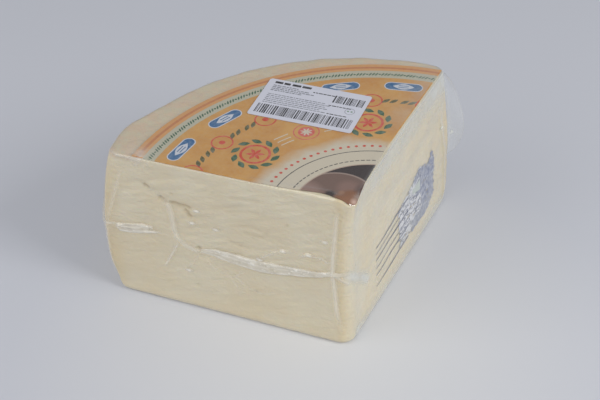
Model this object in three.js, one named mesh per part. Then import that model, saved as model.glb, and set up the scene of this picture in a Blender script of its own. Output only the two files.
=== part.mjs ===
// A quarter of a pale, semi-soft cheese wheel, vacuum packed in clear film.
// The pack is one solid out to the film's outer surface. The film's spare corner stands out from
// it as a thin ear. A printed paper label lies on the top, and a white price sticker on that.
// Millimetres, +Z up. Shapes are drawn from the wheel's axis, which lies just inside the pack's
// upright front corner: the front cut face runs along -X from it, the side cut face towards +Y.

import * as THREE from "three";

// The wheel and the cut
const WHEEL_RADIUS = 175;
const PACK_HEIGHT = 119.2;
const CUT_ANGLE = THREE.MathUtils.degToRad(94);

// The cuts miss the wheel's axis a little, so each cut face stands out from it by this
const FRONT_OUT = 0.8;
const SIDE_OUT = 2.2;

// The bulging rind: widest part way up, drawn in towards the top and the base
const WIDEST_HEIGHT = 0.4 * PACK_HEIGHT;
const RIND_IN_AT_TOP = 9.5;
const RIND_IN_AT_BASE = 7.5;
const RIND_POWER_ABOVE = 1.8;
const RIND_POWER_BELOW = 2.6;

// Rounding of the level edges, in the order base, top
const FRONT_EDGES = [3, 1.6];
const SIDE_EDGES = [2.5, 1.6];
const RIND_EDGES = [5, 4.5];

// Rounding of the upright edges, in the order base, top. It changes mostly near the top.
const APEX_RADII = [8.5, 4.5];
const LEFT_RADII = [3.5, 9];
const FAR_RADII = [3, 8];
const RADII_POWER = 4;

// Where the soft cheese has left its plain shape: the foot comes forward, most at the apex, the
// apex leans out at its top over the side cut face, and the rind has a shoulder beside the front
// cut face, which its bearing from that face in degrees gives
const FOOT_OUT = { front: 3.1, frontAtRind: -0.6, side: 0.8 };
const NOSE = { out: 4, along: 15, power: 8 };
const SHOULDER = { out: 4, bearing: 10, halfWidth: 5.5, from: 60, full: 110 };

// The film's crinkled seam, which runs round the pack about half way up: how far it rises on each
// stretch, and its route over the front cut face, as distance from the apex and height
const SEAM_RISE = { front: 1.3, apex: 1.1, side: 0.5, far: 0.5, rind: 0.6, left: 1.1 };
const SEAM_HALF_WIDTH = 4.5;
const SEAM_ROUTE = [[0, 55.5], [14, 56.5], [56, 52], [104, 53], [119, 60], [140, 58], [175, 57]];
const SEAM_HEIGHTS = { atApex: 55.5, atRind: 57 };

// The crack that runs down across the front cut face, as distance from the apex and height
const CRACK_DEPTH = 1.9;
const CRACK_HALF_WIDTH = 4.2;
const CRACK_ROUTE = [[153, 103], [141, 97], [125, 87.5], [111, 80.5]];

// Slack in the film, as low waves over the cut faces
const SLACK = 0.35;
const SLACK_WAVE = { across: 0.137, up: 0.087 };
const LEVEL_MARGIN = 9;

// Pieces that touch keep this gap
const GAP = 0.3;

// The film's spare corner, at the upright edge where the side face meets the rind: a wavy blade
// that stands out furthest below its middle, and thins from its root to its rim
const EAR = {
  low: 37, high: 113, gap: 0.5, reach: 11.4, rim: 0.7, root: 1.2, wave: 1.6, power: 0.75, sag: 0.66,
};
const EAR_STEPS = { up: 20, out: 4 };
const EAR_WAVES = { up: 9, out: 2 };

// The printed paper label, a sector of a round sheet laid a little off the wheel's centre, which
// was cut with the cheese
const LABEL = { radius: 162.5, x: 16, y: -5, thick: 0.3, inset: 0.4 };

// The label's edge round its tip, from the front edge to the side edge: it draws back a little
// before the tip, and the tip leans out with the apex
const LABEL_TIP = [
  [-63, -0.4], [-37, 0.9], [-26, 2.2], [-18, 3.2], [-12, 2.8], [-6, 1.3], [-1.9, 1], [1.5, 0.4], [3.5, 0.5],
  [4.7, 1], [5.6, 2], [6.1, 3.8], [6.1, 7], [6, 11], [5.8, 15], [5.2, 21], [5.3, 30], [6, 60],
];

// The white price sticker
const STICKER = { x: -57.7, y: 88.9, width: 73.5, depth: 44, turn: 0.3, thick: 0.3, corner: 1.8 };

// Steps along each stretch of the pack's outline, and up its height
const STEPS = { front: 44, apex: 6, side: 24, far: 5, rind: 34, left: 4 };
const EDGE_LEVELS = [0, 0.5, 1.8, 4, 7];
const LEVEL_STEPS = 22;

const FRONT_ALONG = new THREE.Vector2(-1, 0);
const FRONT_INWARD = new THREE.Vector2(0, 1);
const SIDE_ALONG = new THREE.Vector2(Math.cos(Math.PI - CUT_ANGLE), Math.sin(Math.PI - CUT_ANGLE));
const SIDE_INWARD = new THREE.Vector2(-SIDE_ALONG.y, SIDE_ALONG.x);

const bell = (distance, halfWidth) => Math.exp(-((distance / halfWidth) ** 2));

// How far a rounded edge draws its face in at a height above the base
function edgeInset(height, [baseRadius, topRadius]) {
  const round = (radius, depth) => {
    const short = Math.max(radius - depth, 0);
    return radius - Math.sqrt(radius ** 2 - short ** 2);
  };
  return round(baseRadius, height) + round(topRadius, PACK_HEIGHT - height);
}

function rindRadius(height) {
  const above = Math.max(height - WIDEST_HEIGHT, 0) / (PACK_HEIGHT - WIDEST_HEIGHT);
  const below = Math.max(WIDEST_HEIGHT - height, 0) / WIDEST_HEIGHT;
  const bulge = RIND_IN_AT_TOP * above ** RIND_POWER_ABOVE + RIND_IN_AT_BASE * below ** RIND_POWER_BELOW;
  return WHEEL_RADIUS - bulge - edgeInset(height, RIND_EDGES);
}

// The value of a route of [distance, height] points at a distance
function routeHeight(route, distance) {
  const last = route.findIndex(([d]) => d >= distance);
  if (last <= 0) return last === 0 ? route[0][1] : route.at(-1)[1];
  const [[d0, h0], [d1, h1]] = [route[last - 1], route[last]];
  return THREE.MathUtils.lerp(h0, h1, (distance - d0) / (d1 - d0));
}

function distanceToRoute(route, distance, height) {
  const point = new THREE.Vector3(distance, height, 0);
  const nearest = new THREE.Vector3();
  const legs = route.slice(1).map((end, i) => new THREE.Line3(
    new THREE.Vector3(...route[i], 0), new THREE.Vector3(...end, 0)));
  return Math.min(...legs.map((leg) => leg.closestPointToPoint(point, true, nearest).distanceTo(point)));
}

function seamHeight(stretch, along) {
  if (stretch === "front") return routeHeight(SEAM_ROUTE, along);
  return THREE.MathUtils.lerp(SEAM_HEIGHTS.atApex, SEAM_HEIGHTS.atRind, along / WHEEL_RADIUS);
}

// How far the film stands out from the plain shape. It fades away at the base and the top.
function relief(stretch, along, height) {
  const fade = THREE.MathUtils.smoothstep(Math.min(height, PACK_HEIGHT - height), 2, LEVEL_MARGIN);
  const seam = SEAM_RISE[stretch] * bell(height - seamHeight(stretch, along), SEAM_HALF_WIDTH);
  const slack = SLACK * Math.sin((along + height) * SLACK_WAVE.across) * Math.sin(height * SLACK_WAVE.up);
  const crack = stretch === "front"
    ? CRACK_DEPTH * bell(distanceToRoute(CRACK_ROUTE, along, height), CRACK_HALF_WIDTH)
    : 0;
  return fade * (seam + slack - crack);
}

// Points of an arc, without its last one, as position and outward normal
function arcPoints(stretch, centre, radius, from, to, steps, along) {
  return Array.from({ length: steps }, (_, i) => {
    const angle = THREE.MathUtils.lerp(from, to, i / steps);
    const normal = new THREE.Vector2(Math.cos(angle), Math.sin(angle));
    return { stretch, normal, point: centre.clone().addScaledVector(normal, radius), along };
  });
}

function linePoints(stretch, from, to, inward, steps) {
  return Array.from({ length: steps }, (_, i) => {
    const point = from.clone().lerp(to, i / steps);
    return { stretch, point, normal: inward.clone().negate(), along: point.length() };
  });
}

const frontInset = (height) => edgeInset(height, FRONT_EDGES) - FRONT_OUT;
const sideInset = (height) => edgeInset(height, SIDE_EDGES) - SIDE_OUT;
const uprightRadius = (height, [base, top]) =>
  THREE.MathUtils.lerp(base, top, (height / PACK_HEIGHT) ** RADII_POWER);

// Where the rounding between a cut face and the rind has its centre
function cornerCentre(along, inward, inset, radius, height) {
  const offset = inset + radius;
  const reach = Math.sqrt((rindRadius(height) - radius) ** 2 - offset ** 2);
  return inward.clone().multiplyScalar(offset).addScaledVector(along, reach);
}

const leftCentre = (height) => cornerCentre(
  FRONT_ALONG, FRONT_INWARD, frontInset(height), uprightRadius(height, LEFT_RADII), height);
const farCentre = (height) => cornerCentre(
  SIDE_ALONG, SIDE_INWARD, sideInset(height), uprightRadius(height, FAR_RADII), height);

// How far the soft cheese stands out from its plain shape at a point of its outline
function swell(point, normal, height) {
  const share = height / PACK_HEIGHT;
  const forward = Math.max(-normal.y, 0) ** 2;
  const sideways = Math.max(normal.x, 0) ** 2;
  const backwards = Math.max(-normal.x, 0) ** 2;
  const low = (1 - share) ** 2;
  const foot = THREE.MathUtils.lerp(FOOT_OUT.front, FOOT_OUT.frontAtRind, -point.x / WHEEL_RADIUS) * low;
  const nose = NOSE.out * bell(point.length(), NOSE.along) * share ** NOSE.power;
  const bearing = THREE.MathUtils.radToDeg(Math.atan2(point.y, -point.x));
  const shoulder = SHOULDER.out * bell(bearing - SHOULDER.bearing, SHOULDER.halfWidth)
    * THREE.MathUtils.smoothstep(height, SHOULDER.from, SHOULDER.full);
  return forward * foot + sideways * (nose + FOOT_OUT.side * low) + backwards * shoulder;
}

// The pack's outline at a height: anticlockwise from the front face's rind end
function outline(height) {
  const rind = rindRadius(height);
  const left = leftCentre(height);
  const far = farCentre(height);
  const [apexRound, leftRound, farRound] = [APEX_RADII, LEFT_RADII, FAR_RADII].map(
    (radii) => uprightRadius(height, radii));
  const apexY = frontInset(height) + apexRound;
  const apexX = (sideInset(height) + apexRound - apexY * SIDE_INWARD.y) / SIDE_INWARD.x;
  const apex = new THREE.Vector2(apexX, apexY);
  const touch = (centre, inward, radius) => centre.clone().addScaledVector(inward, -radius);
  const sideAngle = Math.PI / 2 - CUT_ANGLE;
  const ring = [
    ...linePoints("front", touch(left, FRONT_INWARD, leftRound), touch(apex, FRONT_INWARD, apexRound),
      FRONT_INWARD, STEPS.front),
    ...arcPoints("apex", apex, apexRound, -Math.PI / 2, sideAngle, STEPS.apex, 0),
    ...linePoints("side", touch(apex, SIDE_INWARD, apexRound), touch(far, SIDE_INWARD, farRound),
      SIDE_INWARD, STEPS.side),
    ...arcPoints("far", far, farRound, sideAngle, far.angle(), STEPS.far, WHEEL_RADIUS),
    ...arcPoints("rind", new THREE.Vector2(), rind, far.angle(), left.angle(), STEPS.rind, WHEEL_RADIUS),
    ...arcPoints("left", left, leftRound, left.angle(), Math.PI * 1.5, STEPS.left, WHEEL_RADIUS),
  ];
  return ring.map(({ stretch, point, normal, along }) => {
    const out = relief(stretch, along, height) + swell(point, normal, height);
    const spot = point.clone().addScaledVector(normal, out);
    return [spot.x, spot.y, height];
  });
}

function levels() {
  const first = EDGE_LEVELS.at(-1);
  const between = Array.from({ length: LEVEL_STEPS - 1 }, (_, i) =>
    THREE.MathUtils.lerp(first, PACK_HEIGHT - first, (i + 1) / LEVEL_STEPS));
  return [...EDGE_LEVELS, ...between, ...EDGE_LEVELS.toReversed().map((depth) => PACK_HEIGHT - depth)];
}

// A closed mesh through rings of points, with a fan over the first and the last
function loft(rings) {
  const count = rings[0].length;
  const middle = (ring) => ring.reduce((sum, p) => sum.map((v, i) => v + p[i] / ring.length), [0, 0, 0]);
  const points = [...rings.flat(), middle(rings[0]), middle(rings.at(-1))];
  const base = rings.length * count;
  const faces = [];
  for (let i = 0; i < count; i += 1) {
    const next = (i + 1) % count;
    for (let level = 0; level < rings.length - 1; level += 1) {
      const [a, b] = [level * count + i, level * count + next];
      faces.push(a, b, b + count, a, b + count, a + count);
    }
    const last = (rings.length - 1) * count;
    faces.push(base, next, i, base + 1, last + i, last + next);
  }
  const geometry = new THREE.BufferGeometry();
  geometry.setAttribute("position", new THREE.Float32BufferAttribute(points.flat(), 3));
  geometry.setIndex(faces);
  geometry.computeVertexNormals();
  return geometry;
}

// The ear is a thin wavy blade: each ring goes out along one face and back along the other
function earGeometry() {
  const outward = SIDE_ALONG.clone().sub(SIDE_INWARD).normalize();
  const across = new THREE.Vector2(-outward.y, outward.x);
  const outShares = Array.from({ length: EAR_STEPS.out + 1 }, (_, i) => i / EAR_STEPS.out);
  const rings = Array.from({ length: EAR_STEPS.up + 1 }, (_, level) => {
    const upShare = level / EAR_STEPS.up;
    const height = THREE.MathUtils.lerp(EAR.low, EAR.high, upShare);
    const rootReach = uprightRadius(height, FAR_RADII) + relief("far", WHEEL_RADIUS, height) + EAR.gap;
    const root = farCentre(height).addScaledVector(outward, rootReach);
    const reach = EAR.rim + EAR.reach * Math.sin(Math.PI * upShare ** EAR.sag) ** EAR.power;
    const spot = (outShare, face) => {
      const wave = EAR.wave * outShare * Math.sin(upShare * EAR_WAVES.up + outShare * EAR_WAVES.out);
      const half = THREE.MathUtils.lerp(EAR.root, EAR.rim, outShare) / 2;
      const point = root.clone().addScaledVector(outward, reach * outShare)
        .addScaledVector(across, wave + face * half);
      return [point.x, point.y, height];
    };
    const back = outShares.toReversed();
    return [...outShares.map((share) => spot(share, -1)), ...back.map((share) => spot(share, 1))];
  });
  return loft(rings);
}

// The label's outline: the front edge, the tip, the side edge and the round edge
function labelShape() {
  const centre = new THREE.Vector2(LABEL.x, LABEL.y);
  const crossing = (along, inward, inset) => {
    const start = inward.clone().multiplyScalar(inset);
    const half = start.clone().sub(centre).dot(along);
    const reach = -half + Math.sqrt(half ** 2 - start.distanceToSquared(centre) + LABEL.radius ** 2);
    return start.addScaledVector(along, reach);
  };
  const left = crossing(FRONT_ALONG, FRONT_INWARD, LABEL.inset - FRONT_OUT);
  const far = crossing(SIDE_ALONG, SIDE_INWARD, LABEL.inset - SIDE_OUT);
  const angle = (point) => point.clone().sub(centre).angle();
  const shape = new THREE.Shape();
  shape.moveTo(left.x, left.y);
  LABEL_TIP.forEach(([x, y]) => shape.lineTo(x, y));
  shape.lineTo(far.x, far.y);
  shape.absarc(centre.x, centre.y, LABEL.radius, angle(far), angle(left), false);
  return shape;
}

function stickerShape() {
  const { width, depth, corner } = STICKER;
  const corners = [[1, -1, -0.5], [1, 1, 0], [-1, 1, 0.5], [-1, -1, 1]];
  const shape = new THREE.Shape();
  corners.forEach(([x, y, turns]) => {
    const start = turns * Math.PI;
    const [middleX, middleY] = [x * (width / 2 - corner), y * (depth / 2 - corner)];
    shape.absarc(middleX, middleY, corner, start, start + Math.PI / 2, false);
  });
  return shape;
}

function sheetGeometry(shape, thick, curveSegments) {
  return new THREE.ExtrudeGeometry(shape, { depth: thick, bevelEnabled: false, curveSegments });
}

function named(name, geometry, color, roughness) {
  const mesh = new THREE.Mesh(geometry, new THREE.MeshStandardMaterial({ color, roughness, metalness: 0 }));
  mesh.name = name;
  return mesh;
}

const pack = named("vacuum_pack", loft(levels().map(outline)), 0xdcd2b4, 0.3);
const ear = named("film_ear", earGeometry(), 0xe4e6ea, 0.2);

const label = named("top_label", sheetGeometry(labelShape(), LABEL.thick, 36), 0xd99a55, 0.7);
label.position.z = PACK_HEIGHT + GAP;

const sticker = named("price_sticker", sheetGeometry(stickerShape(), STICKER.thick, 6), 0xe8e8ee, 0.5);
sticker.position.set(STICKER.x, STICKER.y, label.position.z + LABEL.thick + GAP);
sticker.rotation.z = THREE.MathUtils.degToRad(STICKER.turn);

// The origin is the middle of the whole pack's base
const model = new THREE.Group();
model.add(pack, ear, label, sticker);
model.updateMatrixWorld(true);
const middle = new THREE.Box3().setFromObject(model, true).getCenter(new THREE.Vector3());
model.position.set(-middle.x, -middle.y, 0);
model.updateMatrixWorld(true);

export default model;
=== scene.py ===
"""A quarter of a pale pressed cheese wheel in clear vacuum film, with a printed label and a sticker."""

from math import atan2, cos, pi, radians, sin, sqrt

import bpy
import numpy as np
from mathutils import Matrix, Vector


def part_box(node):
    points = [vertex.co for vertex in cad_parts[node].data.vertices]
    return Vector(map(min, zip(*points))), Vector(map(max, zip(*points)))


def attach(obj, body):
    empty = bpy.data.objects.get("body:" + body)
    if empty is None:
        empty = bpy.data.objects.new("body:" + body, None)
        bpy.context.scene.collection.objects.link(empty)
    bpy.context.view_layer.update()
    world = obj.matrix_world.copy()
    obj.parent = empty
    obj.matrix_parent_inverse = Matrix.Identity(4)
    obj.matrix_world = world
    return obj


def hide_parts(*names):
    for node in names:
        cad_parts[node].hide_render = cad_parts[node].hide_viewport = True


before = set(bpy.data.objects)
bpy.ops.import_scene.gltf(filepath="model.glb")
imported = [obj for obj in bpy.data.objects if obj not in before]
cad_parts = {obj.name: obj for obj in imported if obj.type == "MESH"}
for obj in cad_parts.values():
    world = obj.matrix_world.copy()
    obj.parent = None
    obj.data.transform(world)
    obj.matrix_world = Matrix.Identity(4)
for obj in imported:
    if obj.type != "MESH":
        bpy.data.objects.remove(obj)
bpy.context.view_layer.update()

# Lengths are millimetres from the wheel's axis, just inside the pack's upright front corner.
# Bearings on the top run from the front cut face, at 0 degrees, towards the side cut face.
MM = 0.001

# The wheel and the cut, as in the CAD model
WHEEL_RADIUS = 175.0
PACK_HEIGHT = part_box("vacuum_pack")[1][2] / MM
CUT_ANGLE = radians(94)
FRONT_OUT = 0.8
SIDE_OUT = 2.2
WIDEST_HEIGHT = 0.4 * PACK_HEIGHT
RIND_IN_AT_TOP = 9.5
RIND_IN_AT_BASE = 7.5
RIND_POWER_ABOVE = 1.8
RIND_POWER_BELOW = 2.6

# Roundings in the order base, top: of the level edges, then of the upright edges
FRONT_EDGES = (3.0, 1.6)
SIDE_EDGES = (2.5, 1.6)
RIND_EDGES = (5.0, 4.5)
APEX_RADII = (8.5, 4.5)
LEFT_RADII = (3.5, 9.0)
FAR_RADII = (3.0, 8.0)
RADII_POWER = 4

# Where the soft cheese has left its plain shape: its foot, the top of its apex, and a shoulder of
# the rind, at a bearing and between two heights
FOOT_FRONT, FOOT_FRONT_AT_RIND, FOOT_SIDE = 3.1, -0.6, 0.8
NOSE_OUT, NOSE_ALONG, NOSE_POWER = 4.0, 15.0, 8
SHOULDER_OUT, SHOULDER_BEARING, SHOULDER_HALF_WIDTH = 4.0, 10.0, 5.5
SHOULDER_HEIGHTS = (60.0, 110.0)

# How far the top bends down at its apex, with the label's tip on it, and the way it bends
TIP_DROP, TIP_WAY = 3.0, np.array([0.73, -0.68])

FRONT_ALONG = np.array([-1.0, 0.0])
FRONT_INWARD = np.array([0.0, 1.0])
SIDE_ALONG = np.array([cos(pi - CUT_ANGLE), sin(pi - CUT_ANGLE)])
SIDE_INWARD = np.array([-SIDE_ALONG[1], SIDE_ALONG[0]])

# Places round the pack are a girth, the distance from the wheel's axis: positive over the front
# cut face, negative over the side cut face and on round the rind

# The film's crinkled seam: height, rise and half width against girth
SEAM_HEIGHT = [
    (-460, 57), (-175, 57), (0, 60), (9, 59), (18, 56), (32, 53.9), (46, 52.3), (60, 51.3), (71, 51.5),
    (82, 52.5), (92, 53.3), (104, 53), (119, 60), (140, 61), (165, 58), (175, 59.5)]
SEAM_RISE = [
    (-460, 0.6), (-185, 0.5), (-176, 0), (-8, 0), (0, 0.5), (9, 0.9), (60, 1.3), (92, 1.1), (101, 0.6),
    (106, 0.1), (135, 0.1), (142, 0.8), (162, 0.8), (166, 0.4), (175, 0.5)]
SEAM_HALF_WIDTH = [
    (-460, 3), (-30, 3), (0, 1.4), (9, 1.3), (18, 2.0), (32, 3.0), (46, 3.8), (60, 4.3), (82, 3.8),
    (92, 3.0), (101, 1.6), (138, 2), (150, 3.2), (160, 2.5), (166, 1), (175, 1)]

# How far from the base and from the top the relief of the sides has faded out
LEVEL_MARGIN = 9.0

# Single creases in the film: route as girth and height, rise, half width, whiteness; the white
# along a crease is partly the film's haze where it folds and partly painted highlight
CREASES = [
    ([(155.2, 108), (157.8, 99.3), (163.4, 83.7), (167.1, 71.8), (170.3, 58.9), (172.6, 46.9), (172.8, 33.5),
      (171.4, 20.3), (168.6, 9)], 0.6, 1.6, 0.38),
    ([(172, 60), (168.5, 60), (163.2, 60.7)], 0.3, 1.3, 0.7),
    ([(165, 60.3), (154.1, 61.9), (145, 63.2), (137.5, 63), (137, 60)], 0.6, 0.8, 0.6),
    ([(164.6, 60.5), (161.7, 55.1), (154.9, 55.2), (146.5, 56.8), (138.3, 59.2), (130, 60.7)], 0.9, 1.1, 1.2),
    ([(163.5, 59), (156, 58.8), (143, 60.5)], 0.6, 1.6, 0.6),
    ([(127.6, 93.5), (123.6, 85.5), (121.5, 77.7), (121, 66.8), (119.4, 60.5), (114.7, 55.7), (106.3, 52),
      (99, 53.4)], 1.1, 2.2, 0.55),
    ([(144, 100), (135.6, 95.9), (127.8, 92.2)], 0.4, 1.0, 0.15),
    ([(117.6, 57), (124.7, 43.4), (130.9, 31)], 0.6, 0.9, 0.7),
    ([(101, 51.5), (94, 39.9), (82.6, 36.3), (75.2, 25.3), (70, 24.6)], 0.45, 0.9, 0.22),
    ([(69.5, 46), (78.2, 37.5), (69.9, 30.4), (59.8, 28.1), (49, 32)], 0.45, 0.9, 0.22),
    ([(124, 29.5), (113.6, 34.3), (106.9, 44.1), (102.8, 50)], 0.4, 0.9, 0.25),
    ([(61.3, 56.8), (56.2, 60.8), (51.1, 64.7), (43.2, 68.5), (35, 69.6)], 0.8, 1.1, 0.4),
    ([(33, 66.8), (25.2, 71), (17, 69.8), (10, 66)], 0.9, 1.2, 0.45),
    ([(4.4, 114), (6, 101), (7.2, 87.3), (8.8, 72.2), (9, 60.6), (7.8, 45.9), (6.6, 29.3), (3.4, 9)],
     0.95, 1.5, 0.7),
    ([(14, 58), (9, 60), (3, 55), (-3, 50)], 0.7, 1.6, 0.7),
    ([(4, 62), (-12, 49), (-30, 33)], 0.5, 4.6, 0.8),
    # A painted highlight along the far upright edge
    ([(-156, 90), (-158.3, 71.9), (-165.2, 47.1), (-164.4, 11.4), (-158, 1)], 0.8, 2.0, 0.4),
    # A painted highlight along the front's top edge
    ([(166, 118.2), (152, 118.2), (138, 118.2)], 0.2, 0.7, 0.9),
]

# Small blisters, each with a painted white glint: girth and height, and their half widths, rise
# and how white the painted glint is
GLINTS = [
    (90.6, 73.4), (103.3, 85.7), (107.4, 74.6), (43.1, 68.5), (24.9, 70.5), (60, 57), (113, 33), (14, 84),
    (162, 60.2), (-158, 72)]
GLINT_SIZE = (2.2, 1.1)
GLINT_RISE, GLINT_WHITE = 0.8, 1.3

# The loose film at the left corner: its height, half width, half height, rise and whiteness
LOOSE_HEIGHT, LOOSE_WIDTH, LOOSE_LEVELS, LOOSE_RISE, LOOSE_WHITE = 63, 12, 17, 1.2, 0.4

# A painted highlight in the film, on the front's upper edge
HIGHLIGHT_PLACE, HIGHLIGHT_REACH = np.array([-142, 3, PACK_HEIGHT]), 9

# The crack that runs down across the front cut face, and its open stretches: half width,
# depth, and how dark the shade painted into a stretch is
CRACK_ROUTE = [(153, 103), (141, 96.5), (127.9, 88.2), (121.5, 86.6), (113.6, 85), (107, 79)]
CRACK_OPENINGS = [
    [(141.5, 97.8), (136.5, 94.8)], [(131, 89.8), (124.5, 85.2)],
    [(124.2, 86), (119, 87.2), (116, 86), (111, 86.7), (106, 85.5)],
    [(113.5, 84), (110.2, 82.4), (109.4, 80.2), (106.5, 78)], [(105.5, 54.6), (102.5, 52.4)]]
CRACK_WIDTH, CRACK_DEPTH = 3.6, 1.0
OPENING_WIDTH, OPENING_DEPTH, OPENING_SHADE = 1.3, 1.2, 0.5

# Shallow waves in the front cut face's upper half, as routes of girth and height, their half
# width, and how dark the shade painted into their hollows is
WAVES = [
    [(80, 103), (71, 103), (56, 104)], [(95, 89.6), (82, 93.6), (68, 99)], [(86, 89), (66, 94.5), (57, 94.5)],
    [(83, 78.5), (66, 81.5), (57, 81)], [(73, 76), (58, 75), (52, 81)], [(84, 67), (75, 64), (65, 63)]]
WAVE_WIDTH, WAVE_SHADE = 1.7, 0.12

# Eyes in the cut faces: girth, height and radius, how deep all of them are, and how dark the
# shade painted into them is
EYES = [(107, 21, 1.3), (39.6, 89.7, 1.1), (120.7, 94.7, 1.4), (64, 28, 0.9), (-70, 92, 1.0), (-128, 38, 1.1)]
EYE_DEPTH, EYE_SHADE = 0.9, 0.25

# The printed paper label and the price sticker, as in the CAD model: the label's edges stand a
# little in from the cut faces, but its tip is a row of points, from the front to the side
LABEL_RADIUS = 162.5
LABEL_CENTRE = np.array([16.0, -5.0])
LABEL_INSET = 0.4
LABEL_TIP = [
    (-63, -0.4), (-37, 0.9), (-26, 2.2), (-18, 3.2), (-12, 2.8), (-6, 1.3), (-1.9, 1), (1.5, 0.4), (3.5, 0.5),
    (4.7, 1), (5.6, 2), (6.1, 3.8), (6.1, 7), (6, 11), (5.8, 15), (5.2, 21), (5.3, 30), (6, 60)]
STICKER_CENTRE = np.array([-57.7, 88.9])
STICKER_SIZE = (73.5, 44.0)
STICKER_TURN = 0.3
STICKER_CORNER = 1.8

# The film's spare corner, as in the CAD model
EAR_LOW, EAR_HIGH, EAR_GAP = 37.0, 113.0, 0.5
EAR_REACH, EAR_RIM, EAR_WAVE = 11.4, 0.7, 1.6
EAR_POWER, EAR_SAG = 0.75, 0.66

# The photograph's view: where the camera looks, from how far, and the lens on a 36 mm sensor
CAMERA_TARGET = (-56.1, 60.9, 60.8)
CAMERA_DISTANCE = 1045.2
CAMERA_AZIMUTH = radians(23.0)
CAMERA_ELEVATION = radians(38.1)
CAMERA_ROLL = radians(-2.6)
CAMERA_LENS = 92.4


# The wheel's axis in the frame, in millimetres, from where the CAD model holds the sticker
AXIS = np.append(np.mean(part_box("price_sticker"), axis=0)[:2] / MM - STICKER_CENTRE, 0.0)


def in_frame(points):
    return (np.asarray(points, dtype=float) + AXIS) * MM


def table(places, value):
    """The value at a girth, from a list of (girth, value) pairs."""
    return np.interp(value, [p[0] for p in places], [p[1] for p in places])


def ease(low, high, value):
    share = np.clip((value - low) / (high - low), 0, 1)
    return share * share * (3 - 2 * share)


def noise(points, size, seed):
    """Smooth values from -1 to 1 that change over a size, which may differ by direction."""
    lattice = np.random.default_rng(seed).uniform(-1, 1, (32, 32, 32))
    spot = points / np.asarray(size)
    cell = np.floor(spot).astype(int)
    share = spot - cell
    share = share * share * (3 - 2 * share)
    total = np.zeros(points.shape[:-1])
    for corner in np.ndindex(2, 2, 2):
        weight = np.prod(np.where(corner, share, 1 - share), axis=-1)
        index = (cell + corner) % 32
        total += weight * lattice[index[..., 0], index[..., 1], index[..., 2]]
    return total


def rays(angle):
    return np.stack([np.cos(angle), np.sin(angle)], axis=-1)


def bell(distance, half_width):
    return np.exp(-(distance / half_width) ** 2)


def near_top(height, start, end=0):
    """0 up to a distance below the top, easing to 1 at a lesser distance below it."""
    return ease(PACK_HEIGHT - start, PACK_HEIGHT - end, height)


def near_route(girth, height, route, half_width):
    """1 on a route of (girth, height) points, fading to 0 beside it and at its ends."""
    nearest = np.full(girth.shape, np.inf)
    progress = np.zeros(girth.shape)
    for leg, ((g0, h0), (g1, h1)) in enumerate(zip(route, route[1:])):
        along, up = g1 - g0, h1 - h0
        share = np.clip(((girth - g0) * along + (height - h0) * up) / (along ** 2 + up ** 2), 0, 1)
        gap = np.hypot(girth - g0 - share * along, height - h0 - share * up)
        closer = gap < nearest
        progress[closer] = (leg + share[closer]) / (len(route) - 1)
        nearest[closer] = gap[closer]
    taper = ease(0, 0.2, np.minimum(progress, 1 - progress) + 0.03)
    return bell(nearest, half_width) * taper


# The pack's outline

# Points in each row: on the front, at the apex, on the side, at the far corner, on the rind and at
# the left corner
FILM_COUNTS = (240, 20, 130, 12, 98, 8)
CHEESE_COUNTS = (200, 14, 120, 8, 98, 8)

# The rows of the base as shares of its outline, from the middle outwards
BASE_SHARES = [0.05, 0.5, 0.97]

# How far the rows near a level edge lie from it, where the rows along the seam are, and how far
# apart all the others lie
EDGE_LEVELS = np.array([0, 0.3, 0.8, 1.5, 2.5, 4, 5.5, 7])
SEAM_LOW, SEAM_HIGH = 45.0, 65.0
LEVEL_STEP = 0.85


def edge_inset(height, edges):
    base, top = edges
    below = np.maximum(base - height, 0)
    above = np.maximum(top - (PACK_HEIGHT - height), 0)
    return base - np.sqrt(base ** 2 - below ** 2) + top - np.sqrt(top ** 2 - above ** 2)


def rind_radius(height):
    above = np.maximum(height - WIDEST_HEIGHT, 0) / (PACK_HEIGHT - WIDEST_HEIGHT)
    below = np.maximum(WIDEST_HEIGHT - height, 0) / WIDEST_HEIGHT
    bulge = RIND_IN_AT_TOP * above ** RIND_POWER_ABOVE + RIND_IN_AT_BASE * below ** RIND_POWER_BELOW
    return WHEEL_RADIUS - bulge - edge_inset(height, RIND_EDGES)


def front_inset(height):
    return edge_inset(height, FRONT_EDGES) - FRONT_OUT


def side_inset(height):
    return edge_inset(height, SIDE_EDGES) - SIDE_OUT


def upright_radius(height, radii):
    base, top = radii
    return base + (top - base) * (height / PACK_HEIGHT) ** RADII_POWER


def corner_centre(along, inward, inset, radius, height):
    """The centre of the rounding between a cut face and the rind, for each height."""
    offset = inset + radius
    reach = np.sqrt((rind_radius(height) - radius) ** 2 - offset ** 2)
    return offset[:, None] * inward + reach[:, None] * along


def far_centre(height):
    radius = upright_radius(height, FAR_RADII)
    return corner_centre(SIDE_ALONG, SIDE_INWARD, side_inset(height), radius, height)


def swell(points, normals, height):
    """How far the soft cheese stands out from its plain shape."""
    x, y = points[..., 0], points[..., 1]
    share = (height / PACK_HEIGHT)[:, None]
    low = (1 - share) ** 2
    foot = (FOOT_FRONT + (FOOT_FRONT - FOOT_FRONT_AT_RIND) * x / WHEEL_RADIUS) * low
    nose = NOSE_OUT * bell(np.hypot(x, y), NOSE_ALONG) * share ** NOSE_POWER
    bearing = np.degrees(np.arctan2(y, -x))
    shoulder = SHOULDER_OUT * bell(bearing - SHOULDER_BEARING, SHOULDER_HALF_WIDTH)
    forward = np.maximum(-normals[..., 1], 0) ** 2 * foot
    sideways = np.maximum(normals[..., 0], 0) ** 2 * (nose + FOOT_SIDE * low)
    backwards = np.maximum(-normals[..., 0], 0) ** 2 * shoulder * ease(*SHOULDER_HEIGHTS, height)[:, None]
    return forward + sideways + backwards


def steps_between(start, end, count):
    """Rows of values from each start up to, but not at, each end."""
    share = (np.arange(count) / count).reshape(1, count, *[1] * (start.ndim - 1))
    return start[:, None] + share * (end - start)[:, None]


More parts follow.
